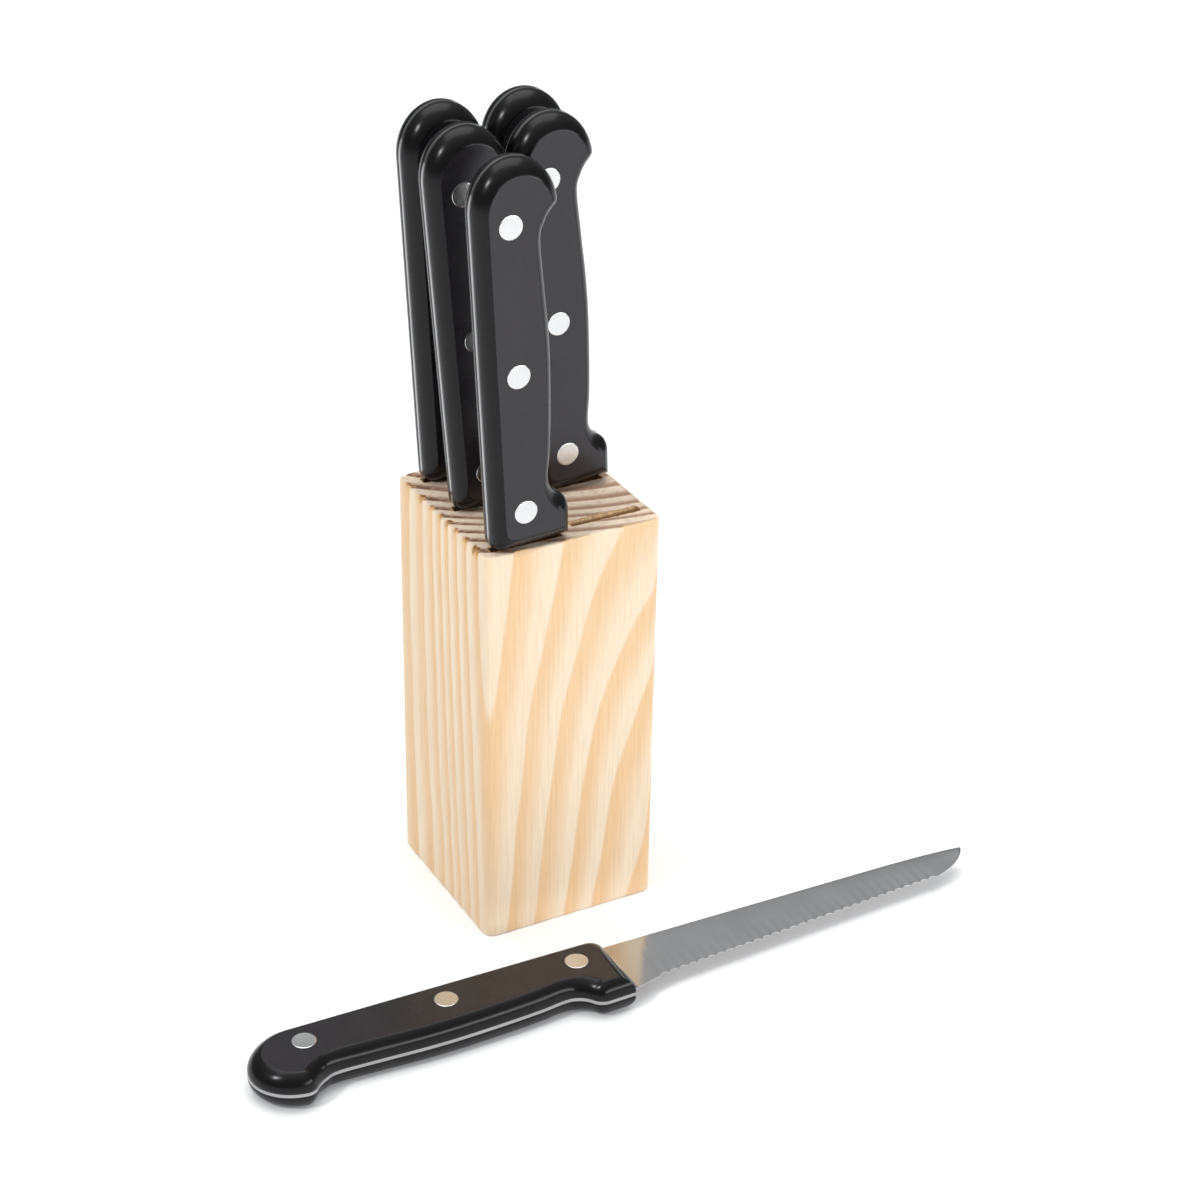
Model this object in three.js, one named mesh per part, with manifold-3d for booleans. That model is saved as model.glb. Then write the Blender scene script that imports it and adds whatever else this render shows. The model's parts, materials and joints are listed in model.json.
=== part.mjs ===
// A block of six steak knives: a solid pine block with two columns of three slots, five knives
// standing in it and the sixth, from the front right slot, lying on its side in front.
// Millimetres, +Z up. The origin is the centre of the block's underside; the block's front is -Y.
import * as THREE from 'three';
import { mergeVertices } from 'three/addons/utils/BufferGeometryUtils.js';
import Module from 'manifold-3d';

const wasm = await Module();
wasm.setup();

// ---- knife: driving sizes ----
const HANDLE_LENGTH = 105.8; // front end to butt
const HANDLE_THICKNESS = 11; // over both scales
const SPINE_X = -8.7; // handle's back, from the line of rivets
const HOOK_X = 14.6; // tip of the hooked butt
const HOOK_DEPTH = 8.5; // from the hook's tip down to the waist below it
const WAIST_X = 9.4;
const BELLY = { x: 10.6, z: 52 }; // fullest point of the palm swell, above the front end
const SHOULDER = { x: 9.8, z: 30 }; // between the belly and the notch
const NOTCH = { x: 8.4, z: 18 }; // finger notch behind the guard
const GUARD = { x: 13.9, z: 10.6 }; // tip of the finger guard
const GUARD_TAPER = 0.4; // the guard narrows this much down to the front end
const BUTT_HEIGHT = 13.6; // half height of the oval butt
const SIDE_BEVEL = 2.9; // how far the flat of a scale stands in from its edge
const BEVEL_TURN = 62; // degrees that the bevel turns, from upright at the tang
const END_BEVEL = 4; // the same at the blade end
const FRONT_CORNER = 2.6; // corner radius between the handle's back and its front end
const TANG_THICKNESS = 1; // the blade's steel, all the way through the handle
const RIVET_DIAMETER = 6.5;
const RIVET_GUARD_Z = 11.2; // above the front end
const RIVET_MIDDLE_Z = 49.6;
const RIVET_FROM_BUTT = 16.2; // the third rivet, below the top of the butt
const BLADE_LENGTH = 117; // handle's front end to the tip
const BLADE_BACK_X = -8.2; // blade's back
const HEEL_X = 11.8; // heel, at the handle
const HEEL_LENGTH = 9.5; // plain stretch before the teeth
const EDGE_START_X = 9.1; // cutting edge at the first tooth
const EDGE_END_X = 2.2; // cutting edge at the last tooth
const TOOTH_PITCH = 3;
const TOOTH_DEPTH = 0.8;
const TIP_RUN = 14; // curved stretch from the last tooth to the tip
const TIP_X = -6.9;
const EDGE_THICKNESS = 0.3;
const BACK_STRIP = 2; // full thickness along the blade's back, before the ground flank
const TIP_ROUND = 0.4;
const BACK_DIP = { x: 0.5, z: 11 }; // the back falls towards the edge over this last stretch

// ---- block: driving sizes ----
const SIDE_WALLS = { left: 4.85, right: 3.05 }; // wood beside the slots, along X
const FRONT_ROW = 7.9; // front face to the first row of slots
const ROW_GAPS = [21.5, 19]; // front row to middle row, middle row to back row
const BACK_ROW = 6.6; // last row to the back face
const FRONT_LEFT_NUDGE = { x: -1.7, y: -3.6 }; // how far the front left slot stands off its column and row
const BLOCK_CORNER = 3; // rounding of the upright edges
const TIP_CLEARANCE = 3; // block below the tip of a seated blade

// ---- fits ----
const FIT_GAP = 0.2; // between pieces of one knife that touch
const SEAT_GAP = 0.3; // handle to the top of the block
const SLOT_PLAY = 0.4; // slot to blade, at each end of the slot
const SLOT_SIDE_PLAY = 0.7; // slot to blade, on each face
const HANDLE_GAP = 0.6; // between the two knives of a row

// ---- how the knives stand and lie ----
const ROW_LEANS = [3.2, 4.6, 3]; // degrees that each row's handles lean towards -X
const LYING_YAW = -1.6; // degrees that the lying knife is turned from +X
const LYING_X = -4.7; // front end of the lying handle
const LYING_GAP = 33.5; // block's front face to the rivets at that end

// ---- worked out ----
const BLOCK_HEIGHT = BLADE_LENGTH + TIP_CLEARANCE;
const COLUMN_PITCH = HOOK_X - SPINE_X + HANDLE_GAP;
const MOST_LEAN = THREE.MathUtils.degToRad(Math.max(...ROW_LEANS));
// A leaning blade reaches furthest across its slot at the heel or at the last tooth.
const SLOT_REACH = Math.max(HEEL_X, EDGE_END_X + (BLADE_LENGTH - TIP_RUN) * Math.sin(MOST_LEAN));
const SLOT_LENGTH = SLOT_REACH - BLADE_BACK_X + 2 * SLOT_PLAY;
const SLOT_WIDTH = TANG_THICKNESS + 2 * SLOT_SIDE_PLAY;
const SLOT_OFFSET = (SLOT_REACH + BLADE_BACK_X) / 2; // slot's middle from the line of rivets
const BLOCK_WIDTH = SIDE_WALLS.left + COLUMN_PITCH + SLOT_LENGTH + SIDE_WALLS.right; // X
const BLOCK_DEPTH = FRONT_ROW + ROW_GAPS[0] + ROW_GAPS[1] + BACK_ROW; // Y
const LEFT_X = -BLOCK_WIDTH / 2 + SIDE_WALLS.left + SLOT_LENGTH / 2;
const COLUMN_X = { left: LEFT_X, right: LEFT_X + COLUMN_PITCH };
const FRONT_Y = -BLOCK_DEPTH / 2 + FRONT_ROW;
const ROW_Y = { front: FRONT_Y, middle: FRONT_Y + ROW_GAPS[0], back: FRONT_Y + ROW_GAPS[0] + ROW_GAPS[1] };
const ROW_LEAN = { front: ROW_LEANS[0], middle: ROW_LEANS[1], back: ROW_LEANS[2] };
const slotPlace = (column, row) => {
  const nudge = column === 'left' && row === 'front' ? FRONT_LEFT_NUDGE : { x: 0, y: 0 };
  return { x: COLUMN_X[column] + nudge.x, y: ROW_Y[row] + nudge.y };
};
const RIVET_Z = {
  guard: RIVET_GUARD_Z,
  middle: RIVET_MIDDLE_Z,
  butt: HANDLE_LENGTH - RIVET_FROM_BUTT,
};
const SCALE_THICKNESS = (HANDLE_THICKNESS - TANG_THICKNESS) / 2 - FIT_GAP;
const ROUND = 20; // sides of a rivet
const BUTT_STEPS = 12;
const GRIP_STEPS = 20;
const BEVEL_STEPS = 3;

const MATERIALS = {
  pine: { color: 0xf2d6a8, roughness: 0.6, metalness: 0 },
  steel: { color: 0xc4c4c2, roughness: 0.2, metalness: 1 },
  plastic: { color: 0x232324, roughness: 0.35, metalness: 0 },
  rivet: { color: 0xe6e6e4, roughness: 0.25, metalness: 1 },
};

// ---- solids ----
function toSolid(geometry) {
  const bare = geometry.index ? geometry.toNonIndexed() : geometry.clone();
  bare.deleteAttribute('normal');
  bare.deleteAttribute('uv');
  const merged = mergeVertices(bare, 1e-4);
  return new wasm.Manifold(new wasm.Mesh({
    numProp: 3,
    vertProperties: new Float32Array(merged.attributes.position.array),
    triVerts: new Uint32Array(merged.index.array),
  }));
}

function toGeometry(solid) {
  const mesh = solid.getMesh();
  const geometry = new THREE.BufferGeometry();
  geometry.setAttribute('position', new THREE.BufferAttribute(mesh.vertProperties, 3));
  geometry.setIndex(new THREE.BufferAttribute(mesh.triVerts, 1));
  geometry.computeVertexNormals();
  return geometry;
}

function cut(geometry, cutters) {
  return toGeometry(cutters.reduce((solid, cutter) => solid.subtract(toSolid(cutter)), toSolid(geometry)));
}

function makeMesh(name, geometry, material) {
  const mesh = new THREE.Mesh(geometry, new THREE.MeshStandardMaterial(MATERIALS[material]));
  mesh.name = name;
  return mesh;
}

// ---- outlines in the plane of the knife: x towards the cutting edge, y up the handle ----
// The handle's outline runs from the front end up the back, over the oval butt to the hook,
// and down the grip to the guard.
function buttArc() {
  const middle = (SPINE_X + HOOK_X) / 2;
  const radius = (HOOK_X - SPINE_X) / 2;
  const base = HANDLE_LENGTH - BUTT_HEIGHT;
  return Array.from({ length: BUTT_STEPS + 1 }, (_, i) => {
    const angle = Math.PI * (1 - i / BUTT_STEPS);
    return new THREE.Vector2(middle + radius * Math.cos(angle), base + BUTT_HEIGHT * Math.sin(angle));
  });
}

function gripCurve() {
  const hookZ = HANDLE_LENGTH - BUTT_HEIGHT;
  const points = [
    [HOOK_X - 2.4, hookZ - 2.4],
    [WAIST_X + 1, hookZ - HOOK_DEPTH + 3.5],
    [WAIST_X, hookZ - HOOK_DEPTH],
    [BELLY.x, BELLY.z],
    [SHOULDER.x, SHOULDER.z],
    [NOTCH.x, NOTCH.z],
    [NOTCH.x + 2.2, GUARD.z + 2.2],
  ];
  const curve = new THREE.CatmullRomCurve3(points.map(([x, z]) => new THREE.Vector3(x, z, 0)));
  return curve.getPoints(GRIP_STEPS).map((p) => new THREE.Vector2(p.x, p.y));
}

function frontCorner(radius) {
  return [0, 0.33, 0.67, 1].map((share) => {
    const angle = share * Math.PI / 2;
    return new THREE.Vector2(
      SPINE_X + radius * (1 - Math.sin(angle)),
      radius * (1 - Math.cos(angle)),
    );
  });
}

function gripOutline() {
  const guard = [new THREE.Vector2(GUARD.x, GUARD.z), new THREE.Vector2(GUARD.x - GUARD_TAPER, 0)];
  return [...buttArc(), ...gripCurve(), ...guard];
}

// Each edge of a clockwise outline moves in by its own distance, between that of the sides and that
// of the ends, and the corners follow.
function insetOutline(points, sideInset, endInset) {
  const edges = points.map((p, i) => {
    const along = points[(i + 1) % points.length].clone().sub(p).normalize();
    const distance = Math.hypot(sideInset * along.y, endInset * along.x);
    return { inward: new THREE.Vector2(along.y, -along.x), distance };
  });
  return points.map((p, i) => {
    const before = edges[(i + points.length - 1) % points.length];
    const after = edges[i];
    const turn = before.inward.dot(after.inward);
    if (turn > 0.95) {
      const mean = (before.distance + after.distance) / 2;
      return p.clone().addScaledVector(before.inward.clone().add(after.inward), mean / (1 + turn));
    }
    const scale = 1 / (1 - turn * turn);
    return p.clone()
      .addScaledVector(before.inward, (before.distance - turn * after.distance) * scale)
      .addScaledVector(after.inward, (after.distance - turn * before.distance) * scale);
  });
}

// A closed solid through rings of points that correspond, from the lowest y to the highest, with caps.
// The points of a ring run clockwise as seen from -Y.
function loft(rings) {
  const count = rings[0].points.length;
  const position = rings.flatMap((ring) => ring.points.flatMap((p) => [p.x, ring.y, p.y]));
  const index = [];
  for (let r = 0; r < rings.length - 1; r += 1) {
    for (let i = 0; i < count; i += 1) {
      const [a, b] = [r * count + i, r * count + ((i + 1) % count)];
      index.push(a, b, a + count, b, b + count, a + count);
    }
  }
  const last = (rings.length - 1) * count;
  THREE.ShapeUtils.triangulateShape(rings[0].points, []).forEach(([a, b, c]) => index.push(a, b, c));
  THREE.ShapeUtils.triangulateShape(rings[rings.length - 1].points, [])
    .forEach(([a, b, c]) => index.push(last + a, last + c, last + b));
  const geometry = new THREE.BufferGeometry();
  geometry.setAttribute('position', new THREE.Float32BufferAttribute(position, 3));
  geometry.setIndex(index);
  return geometry;
}

function rivetCylinder(z, diameter, length) {
  return new THREE.CylinderGeometry(diameter / 2, diameter / 2, length, ROUND).translate(0, 0, z);
}

function rivetHoles() {
  const bore = RIVET_DIAMETER + 2 * FIT_GAP;
  return Object.values(RIVET_Z).map((z) => rivetCylinder(z, bore, 2 * HANDLE_THICKNESS));
}

// ---- one scale of the handle: rounded sides, a flat outer face and three rivet holes ----
function scaleGeometry(side) {
  const turn = THREE.MathUtils.degToRad(BEVEL_TURN);
  const rings = Array.from({ length: BEVEL_STEPS + 1 }, (_, i) => {
    const angle = turn * i / BEVEL_STEPS;
    const rise = Math.sin(angle) / Math.sin(turn);
    const share = (1 - Math.cos(angle)) / (1 - Math.cos(turn));
    const outline = [...frontCorner(FRONT_CORNER + share * END_BEVEL), ...gripOutline()];
    return {
      y: side * (TANG_THICKNESS / 2 + FIT_GAP + SCALE_THICKNESS * rise),
      points: insetOutline(outline, share * SIDE_BEVEL, share * END_BEVEL),
    };
  });
  return cut(loft(side > 0 ? rings : rings.reverse()), rivetHoles());
}

// ---- blade and full tang, one piece of steel ----
function toothedEdge() {
  const start = -HEEL_LENGTH;
  const run = BLADE_LENGTH - HEEL_LENGTH - TIP_RUN;
  const teeth = Math.floor(run / TOOTH_PITCH);
  const edgeX = (z) => THREE.MathUtils.mapLinear(z, start, start - run, EDGE_START_X, EDGE_END_X);
  const points = [];
  for (let i = 0; i < teeth; i += 1) {
    const z = start - i * run / teeth;
    const valley = z - run / teeth / 2;
    points.push(new THREE.Vector2(edgeX(z), z), new THREE.Vector2(edgeX(valley) - TOOTH_DEPTH, valley));
  }
  points.push(new THREE.Vector2(EDGE_END_X, start - run));
  return points;
}

function bladeOutline() {
  const tipStart = new THREE.Vector2(EDGE_END_X, TIP_RUN - BLADE_LENGTH);
  const tip = new THREE.Vector2(TIP_X + TIP_ROUND, TIP_ROUND - BLADE_LENGTH);
  const bend = new THREE.Vector2(EDGE_END_X - 2.4, 4.4 - BLADE_LENGTH);
  const belly = new THREE.QuadraticBezierCurve(tipStart, bend, tip).getPoints(6).slice(1);
  return [
    ...gripOutline(),
    new THREE.Vector2(HEEL_X, 0),
    ...toothedEdge(),
    ...belly,
    new THREE.Vector2(TIP_X, -BLADE_LENGTH),
    new THREE.Vector2(BLADE_BACK_X + BACK_DIP.x, BACK_DIP.z - BLADE_LENGTH),
    new THREE.Vector2(BLADE_BACK_X, 0),
    new THREE.Vector2(SPINE_X, FRONT_CORNER),
  ];
}

// A box whose inner face is the ground flank of the blade, on the side given: the flank falls from
// the full thickness near the back to the thin edge.
function flankCutter(side) {
  const middleZ = (TIP_RUN - HEEL_LENGTH - BLADE_LENGTH) / 2;
  const size = { along: BLADE_LENGTH - 8, across: 60, deep: 8 };
  const alongEdge = new THREE.Vector3(
    EDGE_END_X - EDGE_START_X, 0, HEEL_LENGTH + TIP_RUN - BLADE_LENGTH,
  ).normalize();
  const onEdge = new THREE.Vector3((EDGE_START_X + EDGE_END_X) / 2, side * EDGE_THICKNESS / 2, middleZ);
  const onFace = new THREE.Vector3(BLADE_BACK_X + BACK_STRIP, side * TANG_THICKNESS / 2, middleZ);
  const up = onFace.sub(onEdge).normalize();
  const outward = new THREE.Vector3().crossVectors(alongEdge, up).normalize().multiplyScalar(side);
  const across = new THREE.Vector3().crossVectors(outward, alongEdge);
  const middle = onEdge.addScaledVector(outward, size.deep / 2).addScaledVector(alongEdge, 6);
  return new THREE.BoxGeometry(size.along, size.across, size.deep)
    .applyMatrix4(new THREE.Matrix4().makeBasis(alongEdge, across, outward))
    .translate(middle.x, middle.y, middle.z);
}

function bladeGeometry() {
  const half = TANG_THICKNESS / 2;
  const points = bladeOutline();
  const plate = loft([{ y: -half, points }, { y: half, points }]);
  return cut(plate, [...rivetHoles(), flankCutter(-1), flankCutter(1)]);
}

// ---- one knife, in its own frame: origin on the handle's front end, blade down ----
function makeKnife(name) {
  const knife = new THREE.Group();
  knife.add(makeMesh(`${name}_blade_and_tang`, bladeGeometry(), 'steel'));
  knife.add(makeMesh(`${name}_scale_outer`, scaleGeometry(-1), 'plastic'));
  knife.add(makeMesh(`${name}_scale_inner`, scaleGeometry(1), 'plastic'));
  Object.entries(RIVET_Z).forEach(([place, z]) => {
    const rivet = rivetCylinder(z, RIVET_DIAMETER, HANDLE_THICKNESS);
    knife.add(makeMesh(`${name}_rivet_${place}`, rivet, 'rivet'));
  });
  return knife;
}

// The low corner of a leaning handle keeps the seat gap to the block.
function standKnife(column, row) {
  const lean = THREE.MathUtils.degToRad(ROW_LEAN[row]);
  const knife = makeKnife(`knife_${row}_${column}`);
  const lowCorner = (SPINE_X + FRONT_CORNER) * Math.sin(lean) - FRONT_CORNER * (1 - Math.cos(lean));
  const slot = slotPlace(column, row);
  knife.position.set(slot.x - SLOT_OFFSET, slot.y, BLOCK_HEIGHT + SEAT_GAP - lowCorner);
  knife.rotation.y = -lean;
  return knife;
}

// The sixth knife lies on the flat of its outer scale, butt to the left, edge to the front.
function layKnife(name) {
  const yaw = THREE.MathUtils.degToRad(LYING_YAW);
  const toTip = new THREE.Vector3(Math.cos(yaw), Math.sin(yaw), 0);
  const toButt = toTip.clone().negate();
  const toEdge = new THREE.Vector3(Math.sin(yaw), -Math.cos(yaw), 0);
  const knife = makeKnife(name);
  const up = new THREE.Vector3(0, 0, 1);
  knife.quaternion.setFromRotationMatrix(new THREE.Matrix4().makeBasis(toEdge, up, toButt));
  knife.position.set(LYING_X, -BLOCK_DEPTH / 2 - LYING_GAP, HANDLE_THICKNESS / 2);
  return knife;
}

// ---- the pine block ----
function roundedRectangle(width, depth, radius, shape) {
  const [x, y] = [width / 2, depth / 2];
  shape.moveTo(x - radius, -y);
  shape.absarc(x - radius, -y + radius, radius, -Math.PI / 2, 0);
  shape.absarc(x - radius, y - radius, radius, 0, Math.PI / 2);
  shape.absarc(-x + radius, y - radius, radius, Math.PI / 2, Math.PI);
  shape.absarc(-x + radius, -y + radius, radius, Math.PI, 1.5 * Math.PI);
  return shape;
}

function makeBlock() {
  const shape = roundedRectangle(BLOCK_WIDTH, BLOCK_DEPTH, BLOCK_CORNER, new THREE.Shape());
  const options = { depth: BLOCK_HEIGHT, bevelEnabled: false, curveSegments: 4 };
  const slots = Object.keys(COLUMN_X).flatMap((column) => Object.keys(ROW_Y).map((row) => {
    const { x, y } = slotPlace(column, row);
    return new THREE.BoxGeometry(SLOT_LENGTH, SLOT_WIDTH, 3 * BLOCK_HEIGHT).translate(x, y, 0);
  }));
  return makeMesh('block', cut(new THREE.ExtrudeGeometry(shape, options), slots), 'pine');
}

const knifeBlock = new THREE.Group();
knifeBlock.add(makeBlock());
for (const row of ['front', 'middle', 'back']) {
  for (const column of ['left', 'right']) {
    const isTakenOut = row === 'front' && column === 'right';
    knifeBlock.add(isTakenOut ? layKnife('knife_front_right') : standKnife(column, row));
  }
}

export default knifeBlock;
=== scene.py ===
"""Looks for a small pine block with six steak knives, five standing and one lying in front."""
import json
import math

import bmesh
import bpy
from mathutils import Matrix, Vector, noise
from mathutils.geometry import tessellate_polygon

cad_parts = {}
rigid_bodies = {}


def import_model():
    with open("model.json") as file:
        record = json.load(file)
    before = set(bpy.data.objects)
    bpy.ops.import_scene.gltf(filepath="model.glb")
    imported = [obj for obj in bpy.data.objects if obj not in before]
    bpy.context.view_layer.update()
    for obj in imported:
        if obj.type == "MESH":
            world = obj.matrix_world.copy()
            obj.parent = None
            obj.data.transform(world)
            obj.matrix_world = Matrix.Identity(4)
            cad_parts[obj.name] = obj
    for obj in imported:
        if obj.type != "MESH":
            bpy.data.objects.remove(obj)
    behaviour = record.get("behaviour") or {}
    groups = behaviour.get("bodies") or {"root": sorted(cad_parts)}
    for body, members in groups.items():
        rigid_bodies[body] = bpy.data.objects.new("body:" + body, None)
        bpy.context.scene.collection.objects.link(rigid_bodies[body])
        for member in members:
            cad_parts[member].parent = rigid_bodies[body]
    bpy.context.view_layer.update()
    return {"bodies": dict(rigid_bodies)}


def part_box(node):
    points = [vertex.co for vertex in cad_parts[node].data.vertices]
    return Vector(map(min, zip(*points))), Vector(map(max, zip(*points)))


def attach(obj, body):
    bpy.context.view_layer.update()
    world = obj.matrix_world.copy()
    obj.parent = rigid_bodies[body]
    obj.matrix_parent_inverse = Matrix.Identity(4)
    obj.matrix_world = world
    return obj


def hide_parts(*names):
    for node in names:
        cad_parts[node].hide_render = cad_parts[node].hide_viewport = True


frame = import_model()
MM = 0.001

# ---- knife sizes in millimetres: x towards the cutting edge, y through the handle, z up the handle ----
HANDLE_LENGTH = 105.8
HALF_HANDLE = 5.5
HALF_TANG = 0.5
TANG_INSET = 0.08
SPINE_X = -8.7
HOOK_X = 14.6
BUTT_HEIGHT = 13.6
GRIP = [(12.4, 90.2), (10.7, 87.6), (9.5, 83.7), (9.9, 72.5), (10.5, 60), (10.6, 50), (10.1, 36.7),
        (9.4, 26), (8.5, 18.6), (9.0, 15.2), (10.8, 12.6)]
GUARD = (13.9, 10.6)
GUARD_FOOT = (13.5, 0)
GUARD_ROUND, HOOK_ROUND = 2.4, 1.5
SIDE_BEVEL = 2.9
END_BEVEL = 3.9
FOOT_EASE = 0.12  # how much smaller a scale's foot is, all round
FOOT_RISE, BEVEL_RISE = 0.035, 0.958  # of a scale's height
CREASE_SHARE = 0.97  # of the bevel's width, where the softened crease starts
FLAT_WITHIN = 0.02
FRONT_CORNER = 2.6
BEVEL_TURN = math.radians(62)
RIVET_Z = {"guard": 11.2, "middle": 49.6, "butt": 89.6}
RIVET_RADIUS = 3.25
BLADE_LENGTH = 117
BACK_LINE = [(-8.2, 2), (-8.2, -92), (-7.95, -104), (-7.4, -113), (-7.0, -116.4), (-6.75, -117)]
HEEL_X = 11.8
EDGE_START = (9.1, -9.5)
EDGE_END = (2.2, -103)
BELLY_PULL = (-0.2, -112.6)
TIP = (-6.4, -117)
TEETH = 31
TOOTH_DEPTH = 0.8
TOOTH_FACET = 2.3
TOOTH_HOLLOW = 0.2
GRIND_RUN = 1.5  # below the handle, the stretch in which the ground faces begin
HALF_EDGE = 0.1

# ---- block sizes in millimetres ----
BLOCK_LOW, BLOCK_HIGH = (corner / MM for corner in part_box("block"))
BLOCK_CORNER = 3
EDGE_ROUND = 0.7
TORN_MARGIN = 0.4
SIDE_BAND = 1.5  # outline points this near a side count as on it
SLOT_HALF = (10.4, 1.2)
SLOTS = [(-12.75, -23.2), (12.85, -19.6), (-11.05, 1.9), (12.85, 1.9), (-11.05, 20.9), (12.85, 20.9)]

RING_AXIS = ((36.65, 83.84), (24.5, -21.9), (-14.0, 7.3))  # pith at the top, its slope, its bend
LATE_FROM = 0.55  # share of a ring's width where its late wood begins
RINGS = [41, 49, 57, 64, 71, 78, 84, 90.4, 96.6, 101.4, 105.4, 108.9, 113.4, 118, 124, 130.5]


# ---- meshes ----
def new_object(name, bm, materials, turn=Matrix.Identity(4), sharp=30):
    bmesh.ops.remove_doubles(bm, verts=bm.verts, dist=0.004)
    bmesh.ops.dissolve_degenerate(bm, edges=bm.edges, dist=0.002)
    bmesh.ops.recalc_face_normals(bm, faces=bm.faces)
    bmesh.ops.scale(bm, vec=(MM, MM, MM), verts=bm.verts)
    mesh = bpy.data.meshes.new(name)
    bm.to_mesh(mesh)
    bm.free()
    for face in mesh.polygons:
        face.use_smooth = True
    mesh.set_sharp_from_angle(angle=math.radians(sharp))
    for material in materials:
        mesh.materials.append(material)
    return place(name, mesh, turn)


def place(name, mesh, turn):
    obj = bpy.data.objects.new(name, mesh)
    bpy.context.scene.collection.objects.link(obj)
    obj.matrix_world = turn
    bpy.context.view_layer.update()
    return obj


def skin(bm, rings, cap_first=True, cap_last=True):
    """Faces between rings of points that correspond, and caps on the end rings."""
    loops = [[bm.verts.new(p) for p in ring] for ring in rings]
    count = len(rings[0])
    for low, high in zip(loops, loops[1:]):
        for i in range(count):
            j = (i + 1) % count
            bm.faces.new((low[i], low[j], high[j], high[i]))
    if cap_first:
        bm.faces.new(loops[0])
    if cap_last:
        bm.faces.new(loops[-1])
    return loops


def catmull_rom(points, steps):
    """A smooth curve through the points."""
    ends = [tuple(2 * a - b for a, b in zip(points[0], points[1]))]
    ends += points + [tuple(2 * a - b for a, b in zip(points[-1], points[-2]))]
    curve = []
    for p0, p1, p2, p3 in zip(ends, ends[1:], ends[2:], ends[3:]):
        for k in range(steps):
            t = k / steps
            curve.append(tuple(0.5 * (2 * b + (c - a) * t + (2 * a - 5 * b + 4 * c - d) * t * t
                                      + (3 * b - a - 3 * c + d) * t ** 3)
                               for a, b, c, d in zip(p0, p1, p2, p3)))
    return curve + [points[-1]]


def interpolate(line, z):
    """x at height z on a line of (x, z) points that run downwards."""
    for (xa, za), (xb, zb) in zip(line, line[1:]):
        if zb <= z <= za:
            return xa + (xb - xa) * (za - z) / max(za - zb, 1e-9)
    return line[0][0] if z > line[0][1] else line[-1][0]


# ---- outline of the handle, from the front end up the back, over the butt and down the grip ----
def front_corner(radius, steps=8):
    turns = [k / steps * math.pi / 2 for k in range(steps + 1)]
    return [(SPINE_X + radius * (1 - math.sin(a)), radius * (1 - math.cos(a))) for a in turns]


def butt_arc(steps=48):
    middle, radius = (SPINE_X + HOOK_X) / 2, (HOOK_X - SPINE_X) / 2
    turns = [math.pi * (1 - k / steps) for k in range(steps + 1)]
    base = HANDLE_LENGTH - BUTT_HEIGHT
    return [(middle + radius * math.cos(a), base + BUTT_HEIGHT * math.sin(a)) for a in turns]


def spine(steps=30):
    top = HANDLE_LENGTH - BUTT_HEIGHT
    low = FRONT_CORNER + END_BEVEL
    return [(SPINE_X, low + (top - low) * k / steps) for k in range(1, steps)]


def grip():
    arc_end = (HOOK_X, HANDLE_LENGTH - BUTT_HEIGHT)
    return catmull_rom([arc_end, *GRIP, GUARD], 8)[1:]


def guard_end(steps=14):
    return [tuple(a + (b - a) * k / steps for a, b in zip(GUARD, GUARD_FOOT)) for k in range(1, steps + 1)]


def front_end(steps=16):
    low = SPINE_X + FRONT_CORNER + END_BEVEL
    return [(GUARD_FOOT[0] + (low - GUARD_FOOT[0]) * k / steps, 0) for k in range(1, steps)]


def handle_outline(radius):
    """The outline, and the places in it of the hook, the guard and the foot."""
    parts = [front_corner(radius), spine(), butt_arc(), grip(), guard_end(), front_end()]
    sizes = [len(p) for p in parts]
    hook, guard, foot = sum(sizes[:3]) - 1, sum(sizes[:4]) - 1, sum(sizes[:5]) - 1
    points = [Vector(p) for part in parts for p in part]
    points, guard, grown = soften(points, guard, GUARD_ROUND)
    foot += grown
    points, hook, grown = soften(points, hook, HOOK_ROUND)
    return points, (hook, guard + grown, foot + grown)


def soften(points, corner, reach, steps=8):
    """Rounds a corner off, starting reach away from it. Gives the outline, the middle of the
    rounding, and how many points the outline has gained."""
    near = [i for i, p in enumerate(points) if (p - points[corner]).length < reach]
    first, last = near[0] - 1, near[-1] + 1
    ends = points[first], points[last]
    curve = []
    for k in range(steps + 1):
        t = k / steps
        curve.append(ends[0] * (1 - t) ** 2 + points[corner] * (2 * t * (1 - t)) + ends[1] * t * t)
    rounded = points[:first] + curve + points[last + 1:]
    return rounded, first + steps // 2, len(rounded) - len(points)


def inset(points, corners, side, end):
    """Moves the outline in, by side where it runs along the handle and by end where it runs across.
    Next to a sharp corner the points stop at its mitre line."""
    count = len(points)
    edges = []
    for i, p in enumerate(points):
        along = (points[(i + 1) % count] - p).normalized()
        edges.append((Vector((along.y, -along.x)), math.hypot(side * along.y, end * along.x)))
    moved = []
    for i, p in enumerate(points):
        (n0, d0), (n1, d1) = edges[i - 1], edges[i]
        turn = n0.dot(n1)
        if turn > 0.97:
            moved.append(p + (n0 + n1) * ((d0 + d1) / 2 / (1 + turn)))
        else:
            moved.append(p + (n0 * (d0 - turn * d1) + n1 * (d1 - turn * d0)) / (1 - turn * turn))
    for c in corners:
        mitre = moved[c] - points[c]
        if mitre.length < 1e-6:
            continue
        for step in (1, -1):
            k = c + step
            while abs(k - c) < 24:
                i = k % count
                before = mitre.cross(points[i] - points[c])
                after = mitre.cross(moved[i] - points[c])
                if before * after > 0 and abs(after) > 0.02 * mitre.length:
                    break
                moved[i] = moved[c].copy()
                k += step
    return moved


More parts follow.
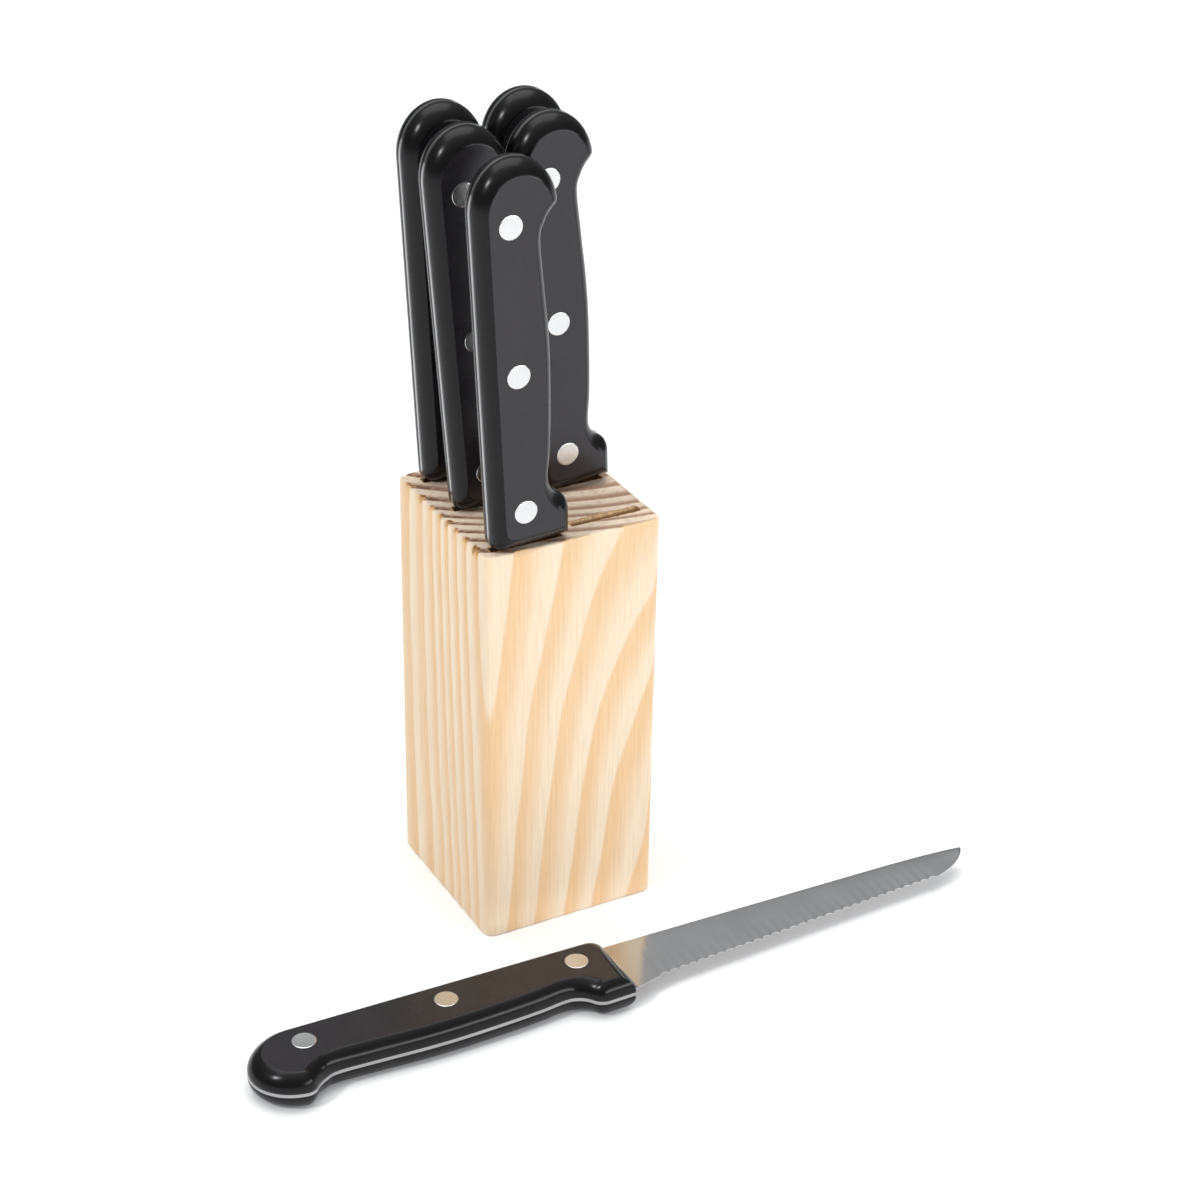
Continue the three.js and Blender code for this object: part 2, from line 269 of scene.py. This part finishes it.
def scale_profile(steps=16):
    """Shares of the bevel's width and of the scale's height, from the foot on the tang to the flat."""
    profile = [(-0.04, 0)]
    for k in range(1, steps + 1):
        turn = BEVEL_TURN * k / steps
        share = (1 - math.cos(turn)) / (1 - math.cos(BEVEL_TURN))
        rise = FOOT_RISE + BEVEL_RISE * math.sin(turn) / math.sin(BEVEL_TURN)
        profile.append((share * CREASE_SHARE, rise))
    return profile + [(1.0, 0.9968), (1.04, 0.999), (1.09, 1), (1.15, 1)]


def scale_mesh(side):
    """One scale: a slightly eased foot on the tang, a rounded bevel, a softened crease and the flat."""
    rings = []
    for share, rise in scale_profile():
        if share < 0:
            points, corners = handle_outline(FRONT_CORNER)
            points = inset(points, corners, FOOT_EASE, FOOT_EASE)
        else:
            points, corners = handle_outline(FRONT_CORNER + min(share, 1) * END_BEVEL)
            points = inset(points, corners, share * SIDE_BEVEL, share * END_BEVEL)
        y = side * (HALF_TANG + (HALF_HANDLE - HALF_TANG) * rise)
        rings.append([(p.x, y, p.y) for p in points])
    bm = bmesh.new()
    skin(bm, rings)
    for face in bm.faces:
        if all(abs(abs(v.co.y) - HALF_HANDLE) < FLAT_WITHIN for v in face.verts):
            face.material_index = 1
    return bm


def rivet_mesh(z):
    """A pin through the handle with a rounded rim and a faintly dished end on each side."""
    end = [(0.0, 0.05), (1.4, 0.053), (2.4, 0.065), (2.85, 0.08), (3.04, 0.085), (3.17, 0.05),
           (RIVET_RADIUS, -0.02), (RIVET_RADIUS, -0.5)]
    profile = [(r, HALF_HANDLE + y) for r, y in end]
    profile += [(r, -y) for r, y in reversed(profile)]
    sides = 56
    bm = bmesh.new()
    rings = []
    for r, y in profile[1:-1]:
        turns = [2 * math.pi * k / sides for k in range(sides)]
        rings.append([(r * math.cos(a), y, z + r * math.sin(a)) for a in turns])
    loops = skin(bm, rings, False, False)
    for loop, (r, y) in ((loops[0], profile[0]), (loops[-1], profile[-1])):
        hub = bm.verts.new((0, y, z))
        for i in range(sides):
            bm.faces.new((loop[i], loop[(i + 1) % sides], hub))
    return bm


# ---- blade and tang ----
def edge_x(z):
    """The cutting side of the blade, without its teeth."""
    if z > EDGE_START[1]:
        return HEEL_X + (EDGE_START[0] - HEEL_X) * z / EDGE_START[1]
    share = (z - EDGE_START[1]) / (EDGE_END[1] - EDGE_START[1])
    return EDGE_START[0] + (EDGE_END[0] - EDGE_START[0]) * share


def tooth(z):
    """0 at a tooth's point and 1 in the middle of a scallop."""
    run = (EDGE_START[1] - EDGE_END[1]) / TEETH
    share = (EDGE_START[1] - z) / run
    if not 0 <= share <= TEETH:
        return 0.0
    return 1 - (2 * (share % 1) - 1) ** 2


def belly(steps=26):
    points = []
    for k in range(1, steps + 1):
        t = 1 - (1 - k / steps) ** 1.6
        points.append(tuple(a * (1 - t) ** 2 + 2 * b * t * (1 - t) + c * t * t
                            for a, b, c in zip(EDGE_END, BELLY_PULL, TIP)))
    return points


def steel_rows():
    """(z, x at the back, x at the edge, scallop) from the butt to the tip."""
    outline, corners = handle_outline(FRONT_CORNER)
    outline = inset(outline, corners, TANG_INSET, TANG_INSET)
    top = max(range(len(outline)), key=lambda i: outline[i].y)
    back = [tuple(p) for p in reversed(outline[:top + 1])]
    front = [tuple(p) for p in outline[top:corners[2] + 1]]
    heights = sorted({round(p[1], 4) for p in back + front}, reverse=True)
    rows = [(z, interpolate(back, z), interpolate(front, z), 0) for z in heights if z > 0.001]
    rows.append((-0.001, BACK_LINE[0][0], HEEL_X, 0))
    steps = 330
    for k in range(1, steps + 1):
        z = EDGE_END[1] * k / steps
        rows.append((z, interpolate(BACK_LINE, z), edge_x(z) - TOOTH_DEPTH * tooth(z), tooth(z)))
    rows += [(z, interpolate(BACK_LINE, z), x, 0) for x, z in belly()]
    return rows


def steel_mesh():
    """Full tang and ground blade in one closed surface."""
    near_edge = [0, 0.3, 0.8, 1.5, TOOTH_FACET]
    rings = []
    for z, back, edge, scallop in steel_rows():
        width = edge - back
        if z < 0:
            across = [min(d, width * (0.1 + 0.2 * k)) for k, d in enumerate(near_edge)]
        else:
            across = [width * s for s in (0, 0.03, 0.08, 0.14, 0.22)]
        across += [across[-1] + (width - across[-1]) * s for s in (0.4, 0.75, 0.93, 1)]
        left, right = [], []
        ground = min(1, max(0, -z / GRIND_RUN))
        for d in across:
            half = HALF_EDGE + (HALF_TANG - HALF_EDGE) * min(1, d / max(width - 2, 0.5))
            half = HALF_TANG + (half - HALF_TANG) * ground
            hollow = 1 - TOOTH_HOLLOW * scallop * max(0, 1 - d / TOOTH_FACET)
            left.append((edge - d, -half, z))
            right.append((edge - d, half * hollow, z))
        rings.append(left + right[::-1])
    bm = bmesh.new()
    skin(bm, rings)
    # Faces above z 0, the tang, take the darker steel: painted shade on the blade's own steel.
    for face in bm.faces:
        if face.calc_center_median().z > 0:
            face.material_index = 1
    return bm


# ---- block ----
def rounded_rectangle(low, high, radius, spacing=0.9):
    centres = [(high.x - radius, low.y + radius, -90), (high.x - radius, high.y - radius, 0),
               (low.x + radius, high.y - radius, 90), (low.x + radius, low.y + radius, 180)]
    corners = []
    for x, y, start in centres:
        turns = [math.radians(start + 90 * k / 8) for k in range(9)]
        corners.append([Vector((x + radius * math.cos(a), y + radius * math.sin(a))) for a in turns])
    points = []
    for here, there in zip(corners, corners[1:] + corners[:1]):
        points += here
        steps = round((there[0] - here[-1]).length / spacing)
        points += [here[-1].lerp(there[0], k / steps) for k in range(1, steps)]
    return points


def rough(x, y, z, pitch, seed=0):
    """Smooth noise with bumps about pitch millimetres wide."""
    return noise.noise(Vector((x / pitch + seed, y / pitch, z / pitch)))


def latewood(x, y, z):
    """1 in the dark part of a ring and 0 in the pale part, as in the wood's material."""
    depth = 1 - z / BLOCK_HIGH.z
    centre = [a + b * depth + c * depth * depth for a, b, c in zip(*RING_AXIS)]
    radius = math.hypot(x - centre[0], y - centre[1])
    for low, high in zip(RINGS, RINGS[1:]):
        if low <= radius < high:
            return 1 if (radius - low) / (high - low) > LATE_FROM else 0
    return 0


def torn_edge(p):
    """How deep, in millimetres, the upper edge has broken away at an outline point."""
    height = BLOCK_HIGH.z
    if p.x < BLOCK_LOW.x + SIDE_BAND:
        depth = 1.5 * latewood(p.x, p.y, height)
    elif p.y < BLOCK_LOW.y + SIDE_BAND or p.x > BLOCK_HIGH.x - SIDE_BAND:
        depth = 0.5 * latewood(p.x, p.y, height)
    else:
        depth = 0.8 * latewood(p.x, p.y, height)
    ragged = 0.75 + 0.9 * rough(p.x, p.y, 3, 1.9) + 0.5 * rough(p.x, p.y, 9, 0.7)
    return max(0, depth * ragged) + max(0, 0.25 * rough(p.x, p.y, 5, 1.1))


def block_rings(outline):
    """Rings up the block, eased at the lower edge and torn at the upper one, and how torn each point is;
    that amount also paints shade into the notches of the broken edge.
    """
    height = BLOCK_HIGH.z
    centre = (BLOCK_LOW + BLOCK_HIGH) / 2
    size = (BLOCK_HIGH - BLOCK_LOW) / 2
    turns = [math.radians(90 * k / 5) for k in range(6)]
    levels = [(EDGE_ROUND * (1 - math.sin(a)), EDGE_ROUND * (1 - math.cos(a))) for a in turns][::-1]
    below_top = [3, 2.6, 2.2, 1.8, 1.5, 1.2, 0.9, EDGE_ROUND, 0.5, 0.3, 0.12, 0]
    rings, torn = [], []
    for z, gap in levels:
        rings.append([ease(p, gap, size, centre, z) for p in outline])
        torn.append([0.0] * len(outline))
    for down in below_top:
        ring, torn_and_shade_marks = [], []
        for p in outline:
            depth = torn_edge(p)
            lift = max(0, 1 - down / EDGE_ROUND)
            gap = EDGE_ROUND * (1 - math.sqrt(max(0, 1 - lift * lift)))
            broken = depth * max(0, 1 - down / (0.2 + 1.7 * depth)) ** 0.7
            ring.append(ease(p, max(gap, broken), size, centre, height - down))
            # Darkest on the left side: torn fibres and painted shadow in the notches, with deeper notches
            # painted darker.
            most = 0.8 if p.x < BLOCK_LOW.x + SIDE_BAND and down < 0.6 else 0.5
            torn_and_shade_marks.append(min(most, 0.6 * broken))
        rings.append(ring)
        torn.append(torn_and_shade_marks)
    inner = [ease(p, max(EDGE_ROUND, torn_edge(p)) + TORN_MARGIN, size, centre, height) for p in outline]
    return rings + [inner], torn + [[0.0] * len(outline)]


def ease(p, gap, size, centre, z):
    """The outline point p moved in by gap, at height z."""
    x, y = p.x - centre.x, p.y - centre.y
    return (p.x - x * gap / size.x, p.y - y * gap / size.y, z)


def slot_outline(x, y, spreads, seed, margin=0.0):
    """Round a slot; the spreads are how far its near and far sides are torn out, and margin
    moves the whole outline outwards."""
    half_x, half_y = SLOT_HALF
    steps = 64
    points = []
    for sign, spread in zip((1, -1), spreads):
        for k in range(steps):
            share = 2 * k / (steps - 1) - 1
            px, py = x + sign * half_x * share, y - sign * half_y
            torn = spread * (0.35 + 0.9 * rough(px, py, 0, 1.1, seed) + 0.5 * rough(px, py, 0, 0.45, seed))
            ends = min(1, min(k, steps - 1 - k) / 3)
            points.append(Vector((px + sign * share * margin, py - sign * (max(0, torn) * ends + margin))))
    return points


def block_mesh():
    bm = bmesh.new()
    # Per-point amount of torn-fibre colour and painted shade for the wood's material.
    torn = bm.verts.layers.float.new("torn")
    rings, torn_and_shade_marks = block_rings(rounded_rectangle(BLOCK_LOW, BLOCK_HIGH, BLOCK_CORNER, 0.45))
    loops = skin(bm, rings, False, False)
    for loop, values in zip(loops, torn_and_shade_marks):
        for vertex, value in zip(loop, values):
            vertex[torn] = value
    caps = {0: [loops[0]], -1: [loops[-1]]}
    height = BLOCK_HIGH.z
    depths = [(0, (0.1, 0.1)), (0.4, (0, 0)), (height - 1.5, (0, 0)), (height - 0.7, (0.05, 0.4)),
              (height - 0.2, (0.15, 0.65)), (height, (0.35, 0.8))]
    # Per slot loop, near side and far side: torn-fibre colour and painted shade that darken the slot walls
    # towards the mouth, with the lit top of the far wall painted paler than the near side.
    slot_torn_and_shade = [(0, 0), (0, 0), (0.5, 0.5), (0.6, 0.3), (0.7, 0.3), (0.7, 0.62), (0, 0)]
    for n, (x, y) in enumerate(SLOTS):
        walls = [[(p.x, p.y, z) for p in slot_outline(x, y, spreads, n)] for z, spreads in depths]
        walls.append([(p.x, p.y, height) for p in slot_outline(x, y, depths[-1][1], n, TORN_MARGIN)])
        inner = skin(bm, walls, False, False)
        for loop, (near, far) in zip(inner, slot_torn_and_shade):
            for vertex in loop:
                vertex[torn] = near if vertex.co.y < y else far
        caps[0].append(inner[0])
        caps[-1].append(inner[-1])
    for group in caps.values():
        verts = [v for loop in group for v in loop]
        for triangle in tessellate_polygon([[v.co for v in loop] for loop in group]):
            bm.faces.new([verts[i] for i in triangle])
    for face in bm.faces:
        face.normal_update()
        z = face.calc_center_median().z
        if abs(face.normal.z) > 0.8 and (z < 0.3 or z > height - 0.3):
            face.material_index = 1
    return bm


# ---- node helpers ----
class Nodes:
    """Short calls that add nodes to one material."""

    def __init__(self, name):
        self.material = bpy.data.materials.new(name)
        self.material.use_nodes = True
        self.tree = self.material.node_tree
        self.shader = self.tree.nodes["Principled BSDF"]

    def add(self, kind, **settings):
        node = self.tree.nodes.new("ShaderNode" + kind)
        for key, value in settings.items():
            setattr(node, key, value)
        return node

    def link(self, source, target):
        if hasattr(source, "links"):
            self.tree.links.new(source, target)
        else:
            target.default_value = source

    def math(self, operation, *values, clamp=False):
        node = self.add("Math", operation=operation, use_clamp=clamp)
        for value, socket in zip(values, node.inputs):
            self.link(value, socket)
        return node.outputs[0]

    def vector(self, operation, *values):
        node = self.add("VectorMath", operation=operation)
        for value, socket in zip(values, node.inputs):
            self.link(value, socket)
        return node.outputs[0]

    def place(self):
        """Position in the piece's own frame, in millimetres."""
        coordinates = self.add("TexCoord")
        return self.vector("MULTIPLY", coordinates.outputs["Object"], (1 / MM,) * 3)

    def noise(self, position, scale, detail=3, stretch=(1, 1, 1)):
        node = self.add("TexNoise")
        self.link(self.vector("MULTIPLY", position, stretch), node.inputs["Vector"])
        node.inputs["Scale"].default_value = scale
        node.inputs["Detail"].default_value = detail
        return node.outputs["Fac"]

    def ramp(self, value, stops):
        node = self.add("ValToRGB")
        ramp = node.color_ramp
        while len(ramp.elements) < len(stops):
            ramp.elements.new(1)
        for element, (position, grey) in zip(ramp.elements, stops):
            element.position = position
            element.color = (grey, grey, grey, 1) if isinstance(grey, (int, float)) else (*grey, 1)
        self.link(value, node.inputs[0])
        return node.outputs[0]

    def mix(self, factor, a, b, blend="MIX"):
        node = self.add("Mix", data_type="RGBA", blend_type=blend)
        for value, key in ((factor, 0), (a, 6), (b, 7)):
            if isinstance(value, tuple) and len(value) == 3:
                value = (*value, 1)
            self.link(value, node.inputs[key])
        return node.outputs[2]

    def bump(self, height, strength, distance):
        node = self.add("Bump")
        node.inputs["Strength"].default_value = strength
        node.inputs["Distance"].default_value = distance
        self.link(height, node.inputs["Height"])
        self.link(node.outputs[0], self.shader.inputs["Normal"])

    def set(self, **values):
        for key, value in values.items():
            self.link(value, self.shader.inputs[key.replace("_", " ")])


# ---- wood ----
EARLY = (0.87, 0.73, 0.56)
LATE = (0.81, 0.54, 0.29)
END_LIGHT = (0.90, 0.74, 0.58)
END_DARK = (0.38, 0.21, 0.125)
# Colours of torn fibres and of painted shade in the broken top edge and inside the slots, from pale tan to
# near black.
TORN_AND_SHADE = [(0, (0.8, 0.6, 0.38)), (0.35, (0.75, 0.5, 0.25)), (0.6, (0.42, 0.2, 0.08)),
        (1, (0.11, 0.05, 0.025))]
LATE_BAND = [(0, 0.6), (0.035, 0), (0.3, 0.04), (0.55, 0.6), (0.75, 0.95), (0.965, 1), (1, 0.6)]
END_BAND = [(0, 0.5), (0.05, 0), (0.45, 0.1), (0.68, 0.8), (0.85, 1), (0.95, 0.9), (1, 0.5)]
FRAYED = (0.16, 0.075, 0.04)
LEFT_FRAY = 9  # how far in from the left side the torn fibres reach, in millimetres


def ring_radius(n, place):
    """Distance from the bent pith line, with a little wander."""
    wander = n.noise(place, 0.02, 1)
    wander = n.math("MULTIPLY", n.math("SUBTRACT", wander, 0.5), 2.4)
    split = n.add("SeparateXYZ")
    n.link(place, split.inputs[0])
    depth = n.math("SUBTRACT", 1, n.math("DIVIDE", split.outputs[2], float(BLOCK_HIGH.z)))
    square = n.math("MULTIPLY", depth, depth)
    across = []
    for axis in range(2):
        start, slope, bend = (value[axis] for value in RING_AXIS)
        straight = n.math("MULTIPLY_ADD", depth, slope, start)
        centre = n.math("ADD", straight, n.math("MULTIPLY", square, bend))
        across.append(n.math("SUBTRACT", split.outputs[axis], centre))
    squares = [n.math("MULTIPLY", a, a) for a in across]
    return n.math("ADD", n.math("SQRT", n.math("ADD", *squares)), wander)


def ring_phase(n, radius):
    """Counts rings from the pith outwards, on their uneven radii."""
    low, high = RINGS[0], RINGS[-1]
    node = n.add("FloatCurve")
    curve = node.mapping.curves[0]
    last = len(RINGS) - 1
    for i, r in enumerate(RINGS[1:-1], 1):
        curve.points.new((r - low) / (high - low), i / last)
    for point in curve.points:
        point.handle_type = "VECTOR"
    node.mapping.update()
    share = n.math("DIVIDE", n.math("SUBTRACT", radius, low), high - low)
    n.link(share, node.inputs["Value"])
    return n.math("MULTIPLY", node.outputs[0], last)


def fray(n, place, band):
    """Dark broken fibres along the late wood, next to the left side of the top."""
    split = n.add("SeparateXYZ")
    n.link(place, split.inputs[0])
    inward = n.math("DIVIDE", n.math("SUBTRACT", split.outputs[0], float(BLOCK_LOW.x)), LEFT_FRAY)
    near = n.ramp(inward, [(0, 1), (0.45, 0.9), (1, 0)])
    specks = n.ramp(n.noise(place, 0.8, 4, (0.5, 1.3, 1)), [(0.42, 0), (0.5, 1)])
    return n.math("MULTIPLY", n.math("MULTIPLY", near, specks), n.ramp(band, [(0.6, 0), (0.9, 0.95)]))


def end_colour(n, place, share):
    """Colour, roughness and bump of the ends of the fibres."""
    pores = n.noise(place, 2.4, 5)
    blotch = n.noise(place, 0.55, 4, (1, 1, 1))
    band = n.ramp(share, END_BAND)
    colour = n.mix(band, END_LIGHT, END_DARK)
    colour = n.mix(n.ramp(pores, [(0.45, 0), (0.75, 0.35)]), colour, (0.80, 0.70, 0.56))
    colour = n.mix(n.ramp(blotch, [(0.5, 0), (0.75, 0.4)]), colour, (0.40, 0.26, 0.16))
    colour = n.mix(fray(n, place, band), colour, FRAYED)
    n.bump(n.math("ADD", n.math("MULTIPLY", pores, 0.6), blotch), 0.8, 0.0006)
    n.set(Roughness=0.85)
    return colour


def side_colour(n, place, share):
    """Colour, roughness and bump along the fibres."""
    late = n.ramp(share, LATE_BAND)
    fibre = n.noise(place, 2.2, 4, (1, 1, 0.035))
    patch = n.noise(place, 0.03, 3, (1, 1, 0.5))
    amount = n.math("MULTIPLY", late, n.ramp(patch, [(0.3, 0.7), (0.7, 1)]))
    colour = n.mix(amount, EARLY, LATE)
    streak = n.ramp(fibre, [(0.3, (0.93, 0.90, 0.86)), (0.6, (1.0, 1.0, 1.0))])
    colour = n.mix(1.0, colour, streak, "MULTIPLY")
    tone = n.ramp(patch, [(0.3, (0.97, 0.95, 0.92)), (0.7, (1.0, 1.0, 1.0))])
    colour = n.mix(1.0, colour, tone, "MULTIPLY")
    n.bump(n.math("ADD", n.math("MULTIPLY", fibre, 0.7), n.math("MULTIPLY", late, 0.4)), 0.3, 0.0002)
    n.set(Roughness=n.ramp(fibre, [(0.2, 0.62), (0.8, 0.5)]))
    n.shader.inputs["Specular IOR Level"].default_value = 0.35
    return colour


def wood(name, paint):
    n = Nodes(name)
    place = n.place()
    share = n.math("FRACT", ring_phase(n, ring_radius(n, place)))
    colour = paint(n, place, share)
    # The torn attribute mixes in torn-fibre colour and painted shade: dark brown in the notches of the
    # broken edge and down the slot walls.
    torn_and_shade_mark = n.add("Attribute", attribute_name="torn").outputs["Fac"]
    amount = n.math("MINIMUM", n.math("MULTIPLY", torn_and_shade_mark, 2.5), 1)
    n.set(Base_Color=n.mix(amount, colour, n.ramp(torn_and_shade_mark, TORN_AND_SHADE)))
    return n.material


# ---- steel, plastic and rivets ----
def blade_steel(name, low, high):
    n = Nodes(name)
    place = n.place()
    lines = n.noise(place, 1.0, 5, (0.25, 0.25, 9))
    cloud = n.noise(place, 0.06, 2)
    n.set(Base_Color=n.ramp(cloud, [(0.3, low), (0.7, high)]), Metallic=1.0)
    n.set(Roughness=n.ramp(lines, [(0.3, 0.08), (0.7, 0.15)]))
    n.bump(lines, 0.12, 0.00002)
    return n.material


def handle_plastic(name, colour, rough_low, rough_high, grain, specular):
    n = Nodes(name)
    place = n.place()
    fine = n.noise(place, 3.5, 3)
    cloud = n.noise(place, 0.08, 3)
    darker, lighter = ([share * c for c in colour] for share in (0.85, 1.15))
    n.set(Base_Color=n.ramp(cloud, [(0.3, darker), (0.7, lighter)]))
    n.set(Roughness=n.ramp(cloud, [(0.3, rough_low), (0.7, rough_high)]))
    n.bump(fine, grain, 0.00006)
    n.shader.inputs["Specular IOR Level"].default_value = specular
    n.shader.inputs["Specular Tint"].default_value = (1, 0.97, 1, 1)
    return n.material


def rivet_metal():
    n = Nodes("rivet_metal")
    place = n.place()
    scuffs = n.noise(place, 1.2, 4, (6, 1, 0.6))
    n.set(Base_Color=n.ramp(scuffs, [(0.3, (0.62, 0.62, 0.62)), (0.7, (0.72, 0.72, 0.71))]), Metallic=1.0)
    n.set(Roughness=n.ramp(scuffs, [(0.3, 0.14), (0.7, 0.24)]))
    n.bump(scuffs, 0.05, 0.00002)
    return n.material


# ---- building ----
def knife_turn(knife):
    """Where a knife is, from the middles of its rivets in the CAD."""
    middle = {}
    for end in ("guard", "butt"):
        low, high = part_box(f"{knife}_rivet_{end}")
        middle[end] = (low + high) / 2
    up = (middle["butt"] - middle["guard"]).normalized()
    through = Vector((0, 0, 1)) if abs(up.z) < 0.5 else Vector((0, 1, 0))
    to_edge = through.cross(up)
    origin = middle["guard"] - up * RIVET_Z["guard"] * MM
    turn = Matrix((to_edge, through, up)).transposed().to_4x4()
    turn.translation = origin
    return turn


def build_knives():
    blade = blade_steel("blade_steel", 0.53, 0.58)
    # The tang is the blade's own steel in a darker colour: painted shade that dims the bright line its edge
    # shows between the scales.
    tang = blade_steel("tang_steel_shaded", 0.33, 0.38)
    rivet = rivet_metal()
    gloss = handle_plastic("plastic_gloss", (0.0035, 0.0035, 0.0038), 0.19, 0.24, 0.03, 0.24)
    satin = handle_plastic("plastic_satin", (0.0115, 0.010, 0.0115), 0.24, 0.32, 0.08, 0.5)
    makers = {"blade_and_tang": (steel_mesh, [blade, tang], "blade_steel"),
              "scale_outer": (lambda: scale_mesh(-1), [gloss, satin], "handle_plastic"),
              "scale_inner": (lambda: scale_mesh(1), [gloss, satin], "handle_plastic")}
    for end, z in RIVET_Z.items():
        makers[f"rivet_{end}"] = (lambda z=z: rivet_mesh(z), [rivet], "rivet_metal")
    meshes = {}
    for knife in (b for b in frame["bodies"] if b != "block"):
        turn = knife_turn(knife)
        for part, (make, materials, slot) in makers.items():
            name = f"{knife}_{part}.look"
            if part in meshes:
                piece = place(name, meshes[part], turn)
            else:
                piece = new_object(name, make(), materials, turn)
                meshes[part] = piece.data
            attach(piece, knife)
            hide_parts(f"{knife}_{part}")


def build_block():
    pine = [wood("pine_side", side_colour), wood("pine_end", end_colour)]
    block = new_object("block.look", block_mesh(), pine, sharp=35)
    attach(block, "block")
    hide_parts("block")


# ---- studio ----
CAMERA_PLACE = (-296.07, -575.3, 448.23)
CAMERA_LENS = 80.78
CAMERA_ANGLES = (-29.003, 29.09, 1.075)  # azimuth, elevation and roll in degrees
LIGHT_AIM = Vector((0, 0, 0.1))
DOME = [(0.0, 0.2), (0.4, 0.3), (0.5, 0.32), (0.62, 0.5), (0.75, 0.62), (0.88, 1.0), (1.0, 1.3)]


def build_camera():
    azimuth, elevation, roll = (math.radians(a) for a in CAMERA_ANGLES)
    forward = Vector((-math.sin(azimuth) * math.cos(elevation), math.cos(azimuth) * math.cos(elevation),
                      -math.sin(elevation)))
    right = Vector((math.cos(azimuth), math.sin(azimuth), 0))
    up = right.cross(forward)
    right, up = (right * math.cos(roll) + up * math.sin(roll), up * math.cos(roll) - right * math.sin(roll))
    camera = bpy.data.objects.new("camera", bpy.data.cameras.new("camera"))
    camera.data.lens = CAMERA_LENS
    camera.data.sensor_width = 36
    turn = Matrix((right, up, -forward)).transposed().to_4x4()
    turn.translation = Vector(CAMERA_PLACE) * MM
    camera.matrix_world = turn
    bpy.context.scene.collection.objects.link(camera)
    bpy.context.scene.camera = camera


def add_softbox(name, place, size, power):
    light = bpy.data.lights.new(name, "AREA")
    light.shape = "RECTANGLE"
    light.size, light.size_y = size
    light.energy = power
    obj = bpy.data.objects.new(name, light)
    obj.location = place
    obj.rotation_mode = "QUATERNION"
    obj.rotation_quaternion = (LIGHT_AIM - Vector(place)).to_track_quat("-Z", "Y")
    bpy.context.scene.collection.objects.link(obj)


def build_floor():
    n = Nodes("paper")
    cloud = n.noise(n.place(), 0.01, 2)
    tone = n.ramp(cloud, [(0.3, (0.93, 0.935, 0.945)), (0.7, (0.945, 0.95, 0.96))])
    n.set(Base_Color=tone, Roughness=0.9)
    n.shader.inputs["Specular IOR Level"].default_value = 0.1
    n.shader.inputs["Emission Color"].default_value = (1, 1, 1, 1)
    n.shader.inputs["Emission Strength"].default_value = 0.05
    mesh = bpy.data.meshes.new("floor")
    reach = 4
    mesh.from_pydata([(-reach, -reach, 0), (reach, -reach, 0), (reach, reach, 0), (-reach, reach, 0)],
                     [], [(0, 1, 2, 3)])
    mesh.materials.append(n.material)
    floor = bpy.data.objects.new("floor", mesh)
    bpy.context.scene.collection.objects.link(floor)


def build_world():
    """A pale dome overhead that darkens towards the horizon."""
    world = bpy.data.worlds.new("studio")
    world.use_nodes = True
    tree = world.node_tree
    split = tree.nodes.new("ShaderNodeSeparateXYZ")
    ramp = tree.nodes.new("ShaderNodeValToRGB")
    while len(ramp.color_ramp.elements) < len(DOME):
        ramp.color_ramp.elements.new(1)
    for element, (height, grey) in zip(ramp.color_ramp.elements, DOME):
        element.position = height
        element.color = (grey * 0.97, grey * 0.985, grey, 1)
    tree.links.new(tree.nodes.new("ShaderNodeTexCoord").outputs["Generated"], split.inputs[0])
    tree.links.new(split.outputs[2], ramp.inputs[0])
    tree.links.new(ramp.outputs[0], tree.nodes["Background"].inputs["Color"])
    bpy.context.scene.world = world


def build_studio():
    build_world()
    add_softbox("key", (-0.94, -0.25, 0.95), (0.155, 0.155), 5)
    add_softbox("strip", (0.62, -1.3, 0.42), (1.7, 0.22), 10.4)
    add_softbox("overhead", (0.1, 0.3, 1.7), (1.8, 1.4), 15)
    bpy.context.scene.view_settings.view_transform = "Standard"
    build_floor()


build_camera()
build_studio()
build_knives()
build_block()
